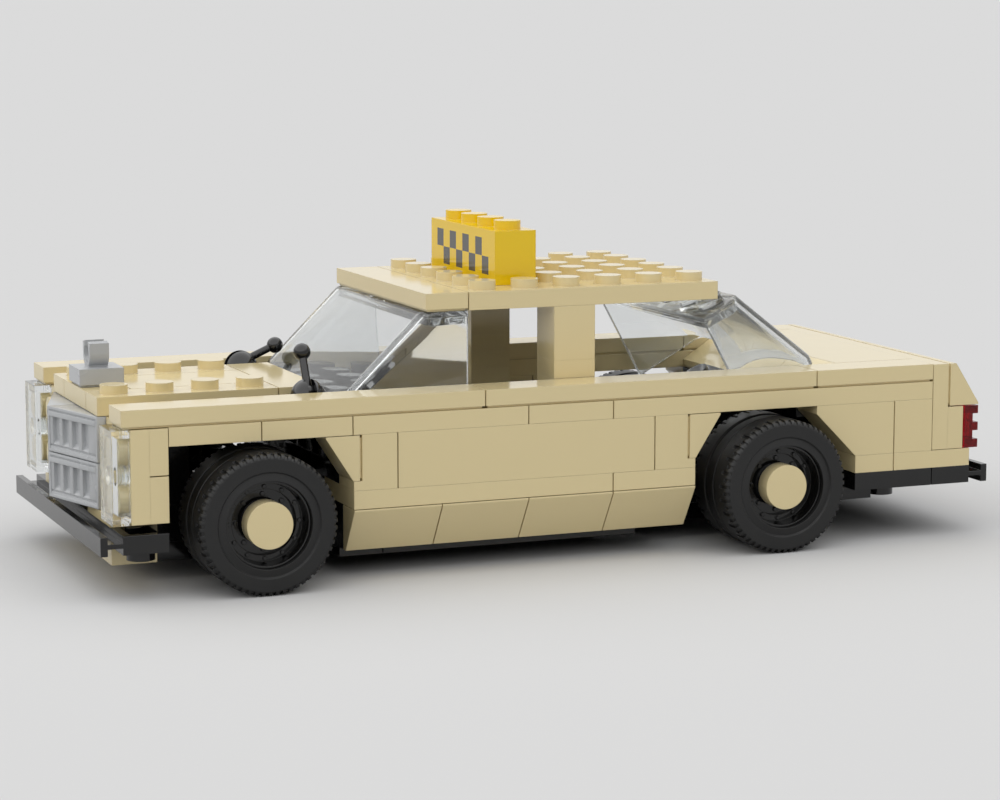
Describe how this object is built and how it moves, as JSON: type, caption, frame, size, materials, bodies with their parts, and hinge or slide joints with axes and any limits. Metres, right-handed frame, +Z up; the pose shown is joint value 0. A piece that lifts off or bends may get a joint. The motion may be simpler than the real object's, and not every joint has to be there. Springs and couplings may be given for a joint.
{
  "type": "building block car",
  "caption": "Saloon car built from interlocking plastic building bricks, with free-rolling wheels, two swinging levers on the cowl and a bare sign brick on the studded roof.",
  "frame": {"origin": "on the floor, under the middle of the car", "axes": "+X to the front of the car, +Y to the car's left, +Z up"},
  "size_m": [0.1685, 0.072, 0.0592],
  "materials": {
    "tan_abs": "gloss",
    "black_abs": "gloss",
    "grey_abs": "gloss",
    "yellow_abs": "gloss",
    "clear_plastic": "gloss",
    "red_plastic": "gloss",
    "tyre_rubber": "satin"
  },
  "bodies": {
    "car": {"roof_plate": "tan_abs", "roof_front_tile": "tan_abs", "roof_sign": "yellow_abs", "sill_tiles": "tan_abs", "belt_plates": "tan_abs", "door_bricks": "tan_abs", "side_stud_bricks": "tan_abs", "arch_slopes": "tan_abs", "arch_inverted_slopes": "tan_abs", "rear_quarter_bricks": "tan_abs", "lower_side_plates": "tan_abs", "rear_lower_plate": "tan_abs", "rocker_brackets": "black_abs", "rocker_slopes": "tan_abs", "floor_plates": "black_abs", "chassis_beams": "black_abs", "cross_plates": "black_abs", "front_core_bricks": "black_abs", "front_under_plates": "black_abs", "hood_support_plate": "black_abs", "front_plates": "tan_abs", "front_brackets": "tan_abs", "headlamps": "clear_plastic", "grille_slopes": "grey_abs", "front_bumper": "black_abs", "front_bumper_tile": "tan_abs", "hood_side_plates": "tan_abs", "hood_jumper": "tan_abs", "hood_tiles": "tan_abs", "hood_ornament": "grey_abs", "lever_bases": "black_abs", "windscreen": "clear_plastic", "pillars": "tan_abs", "rear_window": "clear_plastic", "rear_window_carrier": "black_abs", "deck_tile": "tan_abs", "deck_slopes": "tan_abs", "rear_core_bricks": "black_abs", "tail_plates": "tan_abs", "tail_slopes": "tan_abs", "tail_lamps": "red_plastic", "tail_centre_tile": "tan_abs", "rear_bumper": "black_abs", "rear_under_plates": "black_abs", "axle_pins": "black_abs"},
    "left_lever": {"lever_left": "black_abs"},
    "right_lever": {"lever_right": "black_abs"},
    "wheel_front_left": {"rim_front_left": "black_abs", "tyre_front_left": "tyre_rubber", "cap_front_left": "tan_abs"},
    "wheel_front_right": {"rim_front_right": "black_abs", "tyre_front_right": "tyre_rubber", "cap_front_right": "tan_abs"},
    "wheel_rear_left": {"rim_rear_left": "black_abs", "tyre_rear_left": "tyre_rubber", "cap_rear_left": "tan_abs"},
    "wheel_rear_right": {"rim_rear_right": "black_abs", "tyre_rear_right": "tyre_rubber", "cap_rear_right": "tan_abs"}
  },
  "joints": [
    {"name": "front_left_wheel_spin", "type": "hinge", "parent": "car", "child": "wheel_front_left", "pos_m": [0.0555, 0.029, 0.012], "axis": [0, 1, 0], "continuous": true},
    {"name": "front_right_wheel_spin", "type": "hinge", "parent": "car", "child": "wheel_front_right", "pos_m": [0.0555, -0.029, 0.012], "axis": [0, 1, 0], "continuous": true},
    {"name": "rear_left_wheel_spin", "type": "hinge", "parent": "car", "child": "wheel_rear_left", "pos_m": [-0.0405, 0.029, 0.012], "axis": [0, 1, 0], "continuous": true},
    {"name": "rear_right_wheel_spin", "type": "hinge", "parent": "car", "child": "wheel_rear_right", "pos_m": [-0.0405, -0.029, 0.012], "axis": [0, 1, 0], "continuous": true},
    {"name": "left_lever_swing", "type": "hinge", "parent": "car", "child": "left_lever", "pos_m": [0.0435, 0.02, 0.0317], "axis": [1, 0, 0], "range_deg": [-98, 42]},
    {"name": "right_lever_swing", "type": "hinge", "parent": "car", "child": "right_lever", "pos_m": [0.0435, -0.02, 0.0317], "axis": [0, 1, 0], "range_deg": [-1, 145]}
  ]
}
